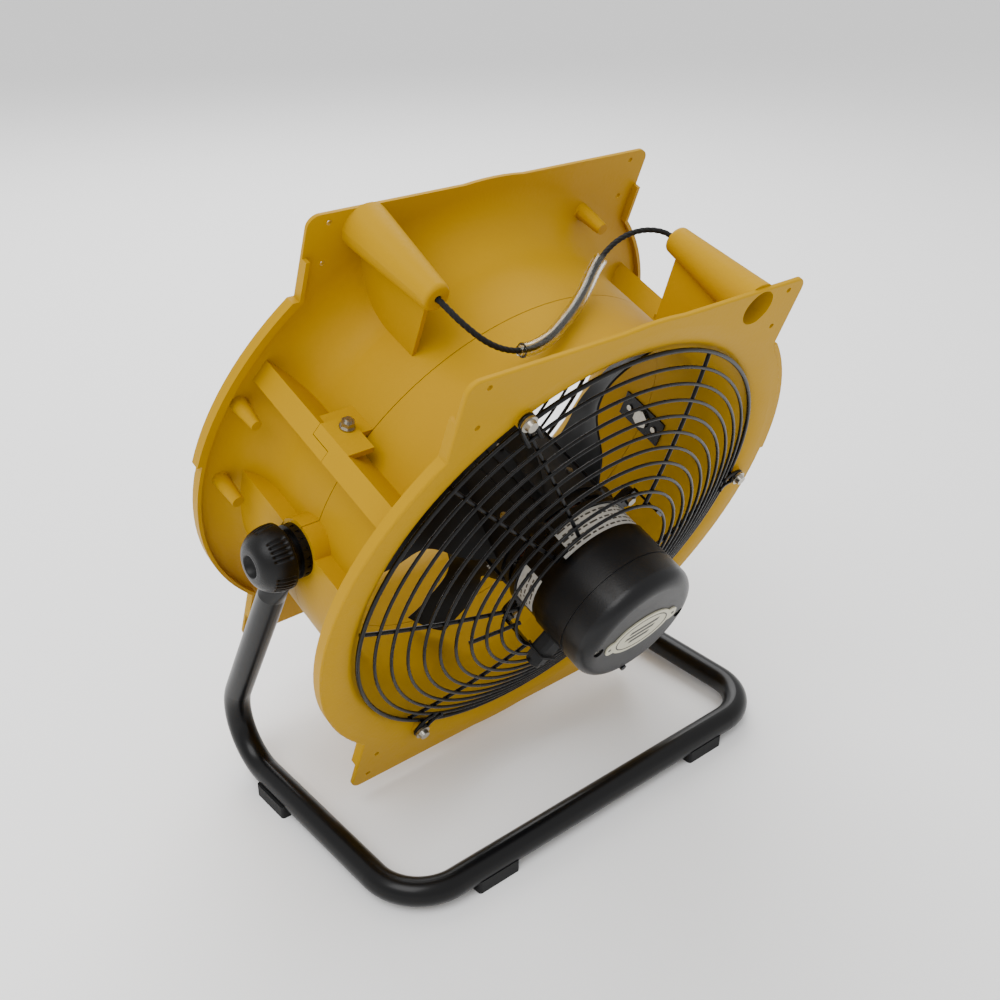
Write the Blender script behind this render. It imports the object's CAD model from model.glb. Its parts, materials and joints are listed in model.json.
import json
from math import cos, pi, radians, sin

import bpy
from mathutils import Matrix, Vector


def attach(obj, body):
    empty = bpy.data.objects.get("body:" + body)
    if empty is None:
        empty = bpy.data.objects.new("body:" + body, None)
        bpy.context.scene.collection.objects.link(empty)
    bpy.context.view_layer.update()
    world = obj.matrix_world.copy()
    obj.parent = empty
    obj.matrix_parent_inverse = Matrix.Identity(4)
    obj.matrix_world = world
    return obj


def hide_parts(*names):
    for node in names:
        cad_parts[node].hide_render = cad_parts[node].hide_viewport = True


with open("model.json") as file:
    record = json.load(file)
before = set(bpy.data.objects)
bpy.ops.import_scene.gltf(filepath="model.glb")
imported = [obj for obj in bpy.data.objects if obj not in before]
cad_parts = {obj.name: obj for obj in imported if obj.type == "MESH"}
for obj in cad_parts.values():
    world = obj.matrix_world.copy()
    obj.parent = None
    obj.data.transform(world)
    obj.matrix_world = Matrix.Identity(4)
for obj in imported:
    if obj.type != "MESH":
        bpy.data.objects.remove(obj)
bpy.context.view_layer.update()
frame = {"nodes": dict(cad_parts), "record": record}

# ------------------------------------------------------------------ sizes shared with the CAD model, metres
TILT = radians(21)
PIVOT = Vector((0, 0.011, 0.294))


def duct(u, v, w):
    """A point of the tilted duct in millimetres: across, up, and towards the motor side."""
    return Vector((u / 1000,
                   PIVOT.y - (w * cos(TILT) + v * sin(TILT)) / 1000,
                   PIVOT.z + (v * cos(TILT) - w * sin(TILT)) / 1000))


# ------------------------------------------------------------------ camera
def make_camera():
    """Camera at the height and side from which the machine is shown, turned a little about its axis."""
    az, el, roll = radians(-40.5), radians(28.3), radians(0.44)
    back = Vector((sin(az) * cos(el), -cos(az) * cos(el), sin(el)))
    right = Vector((cos(az), sin(az), 0))
    up = back.cross(right)
    turned_right = right * cos(roll) + up * sin(roll)
    turned_up = up * cos(roll) - right * sin(roll)
    data = bpy.data.cameras.new("camera")
    data.lens, data.sensor_width = 45.07, 36
    data.clip_start, data.clip_end = 0.05, 50
    camera = bpy.data.objects.new("camera", data)
    camera.matrix_world = Matrix((turned_right, turned_up, back)).transposed().to_4x4()
    camera.location = (-0.665, -0.774, 0.8206)
    bpy.context.scene.collection.objects.link(camera)
    bpy.context.scene.camera = camera


# ------------------------------------------------------------------ materials
def linear(*rgb):
    """sRGB 0-255 to the linear colour that shader sockets take."""
    values = [c / 255 for c in rgb]
    return tuple(c / 12.92 if c <= 0.04045 else ((c + 0.055) / 1.055) ** 2.4 for c in values) + (1,)


def material(name, colour, roughness, metallic=0.0, mottle=0.0, mottle_scale=30, bump=0.0, bump_scale=400,
             rough_spread=0.0, coat=0.0, specular=0.5):
    """Principled material with object-space mottling, roughness variation and fine bump."""
    mat = bpy.data.materials.new(name)
    mat.use_nodes = True
    nodes, links = mat.node_tree.nodes, mat.node_tree.links
    shader = nodes["Principled BSDF"]
    shader.inputs["Metallic"].default_value = metallic
    shader.inputs["Roughness"].default_value = roughness
    shader.inputs["Base Color"].default_value = colour
    shader.inputs["Specular IOR Level"].default_value = specular
    shader.inputs["Coat Weight"].default_value = coat
    shader.inputs["Coat Roughness"].default_value = 0.12
    place = nodes.new("ShaderNodeTexCoord").outputs["Object"]

    def noise(scale, detail=3.0):
        node = nodes.new("ShaderNodeTexNoise")
        node.inputs["Scale"].default_value = scale
        node.inputs["Detail"].default_value = detail
        links.new(place, node.inputs["Vector"])
        return node.outputs["Fac"]

    if mottle:
        mix = nodes.new("ShaderNodeMix")
        mix.data_type = "RGBA"
        mix.inputs[6].default_value = tuple(c * (1 - mottle) for c in colour[:3]) + (1,)
        mix.inputs[7].default_value = tuple(min(1, c * (1 + mottle)) for c in colour[:3]) + (1,)
        links.new(noise(mottle_scale), mix.inputs[0])
        links.new(mix.outputs[2], shader.inputs["Base Color"])
    if rough_spread:
        spread = nodes.new("ShaderNodeMapRange")
        spread.inputs["To Min"].default_value = roughness - rough_spread
        spread.inputs["To Max"].default_value = roughness + rough_spread
        links.new(noise(mottle_scale * 2.3), spread.inputs["Value"])
        links.new(spread.outputs["Result"], shader.inputs["Roughness"])
    if bump:
        node = nodes.new("ShaderNodeBump")
        node.inputs["Strength"].default_value = bump
        node.inputs["Distance"].default_value = 0.0006
        links.new(noise(bump_scale, 2.0), node.inputs["Height"])
        links.new(node.outputs["Normal"], shader.inputs["Normal"])
    return mat


YELLOW = material("yellow_moulding", (0.42, 0.232, 0.0, 1), 0.45, mottle=0.05, mottle_scale=14, bump=0.3,
                  bump_scale=260, rough_spread=0.06, specular=0.08)
GLOSS_BLACK = material("stand_black", linear(6, 6, 7), 0.3, mottle=0.1, bump=0.08, bump_scale=160,
                       rough_spread=0.04, coat=0.05, specular=0.2)
MOTOR_BLACK = material("motor_black", linear(6, 6, 8), 0.34, mottle=0.12, bump=0.2, bump_scale=900,
                       rough_spread=0.05, coat=0.06, specular=0.25)
WIRE_BLACK = material("guard_wire", linear(5, 5, 6), 0.28, mottle=0.1, rough_spread=0.05, coat=0.05,
                      specular=0.2)
BLADE_BLACK = material("blade_black", linear(6, 6, 7), 0.5, mottle=0.15, rough_spread=0.08,
                       specular=0.25)
RUBBER = material("rubber", linear(12, 12, 13), 0.65, mottle=0.15, bump=0.3, bump_scale=700,
                  specular=0.3)
KNOB_BLACK = material("knob_black", linear(5, 5, 6), 0.36, mottle=0.1, bump=0.3, bump_scale=1400,
                      specular=0.25)
ZINC = material("zinc", linear(166, 162, 152), 0.3, metallic=1.0, mottle=0.12, mottle_scale=300,
                rough_spread=0.1)
STEEL = material("steel", linear(150, 148, 144), 0.38, metallic=1.0, mottle=0.1, rough_spread=0.08)
BRASS = material("brass", linear(200, 160, 90), 0.35, metallic=1.0, mottle=0.1, rough_spread=0.08)
COPPER = material("copper", linear(170, 92, 52), 0.4, metallic=1.0, mottle=0.2, mottle_scale=400,
                  rough_spread=0.1)
CREAM = material("badge_cream", linear(186, 182, 158), 0.35, mottle=0.03, rough_spread=0.04)
LABEL = material("label_white", linear(196, 196, 192), 0.4, mottle=0.04, rough_spread=0.05)
PRINT = material("print_dark", linear(52, 50, 48), 0.5, mottle=0.1, mottle_scale=200, rough_spread=0.05)
ROPE = material("rope_black", linear(8, 8, 8), 0.7, mottle=0.35, mottle_scale=900, bump=0.6,
                bump_scale=2500, specular=0.3)


def clear_plastic():
    """Soft clear hose: light passes through it and bends a little."""
    mat = material("grip_clear", linear(236, 236, 228), 0.12, rough_spread=0.04, mottle_scale=120)
    shader = mat.node_tree.nodes["Principled BSDF"]
    shader.inputs["Transmission Weight"].default_value = 1.0
    shader.inputs["IOR"].default_value = 1.35
    return mat


CLEAR = clear_plastic()

# which material each of the record's material slots takes
LOOKS = {
    "yellow_moulding": YELLOW, "stand_black": GLOSS_BLACK, "foot_rubber": RUBBER, "zinc_steel": ZINC,
    "guard_wire": WIRE_BLACK, "motor_black": MOTOR_BLACK, "badge_cream": CREAM, "label_white": LABEL,
    "gland_rubber": RUBBER, "gland_plastic": KNOB_BLACK, "lamination": STEEL, "copper": COPPER,
    "motor_aluminium": STEEL, "ground_steel": STEEL, "capacitor_shell": LABEL, "terminal_white": LABEL,
    "rotor_black": BLADE_BLACK, "blade_black": BLADE_BLACK, "bracket_black": WIRE_BLACK,
    "disc_black": KNOB_BLACK, "brass_insert": BRASS, "knob_black": KNOB_BLACK, "rope_fibre": ROPE,
    "grip_clear": CLEAR, "tie_clear": CLEAR,
}


def dress_frame():
    """Give every CAD node the material of its slot."""
    slots = {part["node"]: part["material_slot"] for part in frame["record"]["subparts"]}
    for name, node in frame["nodes"].items():
        for i in range(max(1, len(node.material_slots))):
            if len(node.material_slots) <= i:
                node.data.materials.append(None)
            node.material_slots[i].material = LOOKS[slots[name]]


# ------------------------------------------------------------------ carrying rope
# the route is in duct millimetres (across, up, towards the motor side); the rest is in metres
ROUTE = [(-127, 234, -10), (-127, 234, 8), (-121, 228, 24), (-106, 217, 40), (-87, 210, 48),
         (-66, 207.5, 49.5), (-43, 207.5, 44), (-20, 208.5, 33.5), (4, 210, 21), (26, 212.5, 7),
         (46, 216.5, -7), (66, 222, -17.5), (86, 228.5, -22), (106, 233, -20), (121, 235, -11),
         (127, 234, 0), (127, 234, 10)]
ROPE_D = 0.005
ROPE_PITCH = 0.016
ROPE_STEP = 0.0011
STRAND_SHARE = 0.36         # strand radius over rope diameter


def nurbs(name, points):
    """A smooth open curve guided by the points."""
    data = bpy.data.curves.new(name, "CURVE")
    data.dimensions = "3D"
    data.resolution_u = 12
    spline = data.splines.new("NURBS")
    spline.points.add(len(points) - 1)
    for point, place in zip(spline.points, points):
        point.co = (*place, 1)
    spline.order_u = 3
    spline.use_endpoint_u = True
    curve = bpy.data.objects.new(name, data)
    bpy.context.scene.collection.objects.link(curve)
    return curve


def followed(points):
    """Points along the smooth line of a route."""
    curve = nurbs("guide", points)
    mesh = bpy.data.meshes.new_from_object(curve)
    line = [v.co.copy() for v in mesh.vertices]
    bpy.data.objects.remove(curve)
    bpy.data.meshes.remove(mesh)
    return line


def mesh_piece(name, vertices, faces, mat, smooth=True):
    """A new mesh object of one material."""
    mesh = bpy.data.meshes.new(name)
    mesh.from_pydata([tuple(v) for v in vertices], [], faces)
    mesh.materials.append(mat)
    mesh.update()
    if smooth:
        mesh.polygons.foreach_set("use_smooth", [True] * len(mesh.polygons))
    piece = bpy.data.objects.new(name, mesh)
    bpy.context.scene.collection.objects.link(piece)
    return piece


def travelled(line):
    """Line points with a frame that turns as little as possible: (point, side, up, distance)."""
    steps, run = [], 0.0
    side = Vector((0, 0, 1)).cross(line[1] - line[0]).normalized()
    for i, point in enumerate(line):
        ahead = (line[min(i + 1, len(line) - 1)] - line[max(i - 1, 0)]).normalized()
        side = (side - ahead * side.dot(ahead)).normalized()
        if i:
            run += (point - line[i - 1]).length
        steps.append((point, side, ahead.cross(side), run))
    return steps


def resampled(line, step):
    """The same line in even steps."""
    out, need = [line[0].copy()], step
    for a, b in zip(line, line[1:]):
        length = (b - a).length
        while need <= length:
            out.append(a.lerp(b, need / length))
            need += step
        need -= length
    out.append(line[-1].copy())
    return out


def laid_rope(name, line, diameter, pitch, strands=3, around=8):
    """Twisted strands as one mesh along the line."""
    vertices, faces = [], []
    steps = travelled(line)
    strand_r = diameter * STRAND_SHARE
    for s in range(strands):
        first = len(vertices)
        for point, side, up, run in steps:
            a = 2 * pi * (run / pitch + s / strands)
            centre = point + (side * cos(a) + up * sin(a)) * (diameter / 2 - strand_r)
            for k in range(around):
                b = 2 * pi * k / around
                vertices.append(centre + (side * cos(b) + up * sin(b)) * strand_r)
        for i in range(len(steps) - 1):
            for k in range(around):
                a, b = first + i * around + k, first + i * around + (k + 1) % around
                faces.append((a, b, b + around, a + around))
        faces.append(tuple(first + k for k in reversed(range(around))))
        faces.append(tuple(first + (len(steps) - 1) * around + k for k in range(around)))
    return mesh_piece(name, vertices, faces, ROPE)


def carrying_rope():
    """Laid rope in place of the plain one, from knot to knot."""
    line = resampled(followed([duct(*spot) for spot in ROUTE]), ROPE_STEP)
    rope = laid_rope("carrying_rope_laid", line, ROPE_D, ROPE_PITCH)
    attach(rope, "housing")
    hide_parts("carry_rope")


# ------------------------------------------------------------------ hand knobs
# millimetres; places along the knob are distances from the middle of the machine
KNOB_R = 28.6
FACE_R = 12.6
KNOB_BORE_R = 9.05
FACE_HOLE_R = 9.2
KNOB_BASE = 230.1
KNOB_BORE_END = 251
FACE_HOLE_END = 252.5
DOME_FROM, DOME_TO = 233, 258.4
FACE_RIM = 258.7
DOME_ROWS = 24
SLOTS_FROM, SLOTS_TO = 234.5, 247.5
SLOT_DEPTH = 2.1
# steps round the knob
KNOB_AROUND = 240
GROUP_STEPS = 48
SLOTTED_STEPS = 27
SLOT_SPACING = 6
SLOT_WIDTH = 3
FIRST_STEP = 17


def knob_profile():
    """Knob outline in millimetres, (x, r, slotted), from the bore's end round the dome into the face hole."""
    outline = [(KNOB_BORE_END, KNOB_BORE_R, 0), (KNOB_BASE, KNOB_BORE_R, 0), (KNOB_BASE, KNOB_R - 0.8, 0),
               (KNOB_BASE + 0.4, KNOB_R - 0.2, 0), (KNOB_BASE + 0.9, KNOB_R, 0), (KNOB_BASE + 1.9, KNOB_R, 0)]
    for i in range(DOME_ROWS + 1):
        lift = sin(pi / 2 * i / DOME_ROWS)
        x = DOME_FROM + (DOME_TO - DOME_FROM) * lift
        r = FACE_R + (KNOB_R - FACE_R) * (1 - lift ** 2.3) ** 0.55
        outline.append((x, r, SLOTS_FROM < x < SLOTS_TO))
    return outline + [(FACE_RIM, FACE_HOLE_R + 2, 0), (FACE_RIM, FACE_HOLE_R + 1.2, 0),
                      (FACE_RIM - 0.6, FACE_HOLE_R + 0.4, 0), (FACE_HOLE_END, FACE_HOLE_R, 0)]


def in_slot(k):
    """Whether step k round the knob is in one of its slots: five groups of five."""
    return (k + FIRST_STEP) % GROUP_STEPS < SLOTTED_STEPS and (k + FIRST_STEP) % SLOT_SPACING < SLOT_WIDTH


def knob_piece(name, side):
    """Moulded knob in place of the plain one; side is -1 or 1."""
    outline = knob_profile()
    vertices, faces = [], []
    for x, r, slotted in outline:
        for k in range(KNOB_AROUND):
            a = 2 * pi * k / KNOB_AROUND
            reach = r - SLOT_DEPTH if slotted and in_slot(k) else r
            vertices.append(Vector((side * x, reach * cos(a), reach * sin(a))) / 1000 + PIVOT)
    for i in range(len(outline) - 1):
        for k in range(KNOB_AROUND):
            a, b = i * KNOB_AROUND + k, i * KNOB_AROUND + (k + 1) % KNOB_AROUND
            faces.append((a, b, b + KNOB_AROUND, a + KNOB_AROUND))
    last = (len(outline) - 1) * KNOB_AROUND
    faces.append(tuple(reversed(range(KNOB_AROUND))))
    faces.append(tuple(range(last, last + KNOB_AROUND)))
    if side < 0:
        faces = [tuple(reversed(face)) for face in faces]
    piece = mesh_piece(name + "_moulded", vertices, faces, KNOB_BLACK)
    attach(piece, name)
    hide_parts(name)


# ------------------------------------------------------------------ generic print on the badge and labels
def slabs(name, pieces, mat):
    """Thin printed slabs: each is a bottom loop and a top loop of as many points."""
    vertices, faces = [], []
    for bottom, top in pieces:
        first, n = len(vertices), len(bottom)
        vertices += bottom + top
        for i in range(n):
            after = (i + 1) % n
            faces.append((first + i, first + after, first + n + after, first + n + i))
        faces.append(tuple(first + i for i in reversed(range(n))))
        faces.append(tuple(first + n + i for i in range(n)))
    piece = mesh_piece(name, vertices, faces, mat, smooth=False)
    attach(piece, "housing")


def badge_print():
    """Oval line and three slanted bars on the badge, in place of any name."""
    turn = radians(9)
    face, top = 206.21, 206.36
    segments = 72

    def loops(outline):
        turned = [(x * cos(turn) - z * sin(turn), x * sin(turn) + z * cos(turn)) for x, z in outline]
        return [duct(x, z, face) for x, z in turned], [duct(x, z, top) for x, z in turned]

    pieces = []
    for k in range(segments):
        a0, a1 = 2 * pi * k / segments, 2 * pi * (k + 1) / segments
        pieces.append(loops([(29 * cos(a0), 16.6 * sin(a0)), (29 * cos(a1), 16.6 * sin(a1)),
                             (27.8 * cos(a1), 15.6 * sin(a1)), (27.8 * cos(a0), 15.6 * sin(a0))]))
    for row, (x0, x1) in enumerate(((-15, 17), (-19, 13), (-14, 8))):
        z = 6 - 6 * row
        pieces.append(loops([(x0, z - 1.5), (x1, z - 1.5), (x1 + 2, z + 1.5), (x0 + 2, z + 1.5)]))
    for x in (-36, 36):
        dot = [(x + 1.7 * cos(pi * i / 8), 1.7 * sin(pi * i / 8)) for i in range(16)]
        pieces.append(loops(dot))
    slabs("badge_print", pieces, PRINT)


def label_print():
    """Rows of short bars on the two labels, in place of text."""
    def bar(a0, a1, w0, w1):
        steps = max(1, round((a1 - a0) / 3))
        angles = [radians(a0 + (a1 - a0) * i / steps) for i in range(steps + 1)]
        loops = []
        for r in (60.41, 60.5):
            near = [duct(r * cos(a), r * sin(a), w0) for a in angles]
            far = [duct(r * cos(a), r * sin(a), w1) for a in reversed(angles)]
            loops.append(near + far)
        return loops

    pieces = []
    words = (6, 3.5, 8, 4.5, 5.5, 2.5)
    for start, end, w0, rows, height in ((50, 132, 133.4, 5, 1.6), (167, 202, 129.6, 4, 1.4)):
        for row in range(rows):
            angle, k = start + 1.5 * (row % 2), row
            w = w0 - row * 2.9 * height
            while angle + words[k % 6] < end:
                pieces.append(bar(angle, angle + words[k % 6], w - height, w))
                angle += words[k % 6] + 2.2
                k += 1
    slabs("label_print", pieces, PRINT)


# ------------------------------------------------------------------ floor and light
def area_light(name, place, target, size, power):
    """Square white light aimed at a point."""
    data = bpy.data.lights.new(name, "AREA")
    data.energy, data.size = power, size
    light = bpy.data.objects.new(name, data)
    light.location = place
    light.rotation_mode = "QUATERNION"
    light.rotation_quaternion = (Vector(target) - Vector(place)).to_track_quat("-Z", "Y")
    bpy.context.scene.collection.objects.link(light)


def studio():
    """Plain pale floor, even sky light and two large soft lights."""
    floor = mesh_piece("floor", [(-9, -9, 0), (9, -9, 0), (9, 9, 0), (-9, 9, 0)], [(0, 1, 2, 3)],
                       material("floor_white", (0.93, 0.93, 0.93, 1), 0.6), smooth=False)
    world = bpy.data.worlds.new("studio")
    world.use_nodes = True
    background = world.node_tree.nodes["Background"]
    background.inputs["Color"].default_value = (1, 1, 1, 1)
    background.inputs["Strength"].default_value = 1.1
    bpy.context.scene.world = world
    area_light("key", (-1.6, -0.6, 2.6), (0, 0, 0.25), 1.8, 55)
    area_light("back", (0.9, 1.8, 2.2), (0, 0, 0.3), 2.4, 80)


make_camera()
dress_frame()
carrying_rope()
knob_piece("knob_left", -1)
knob_piece("knob_right", 1)
badge_print()
label_print()
studio()
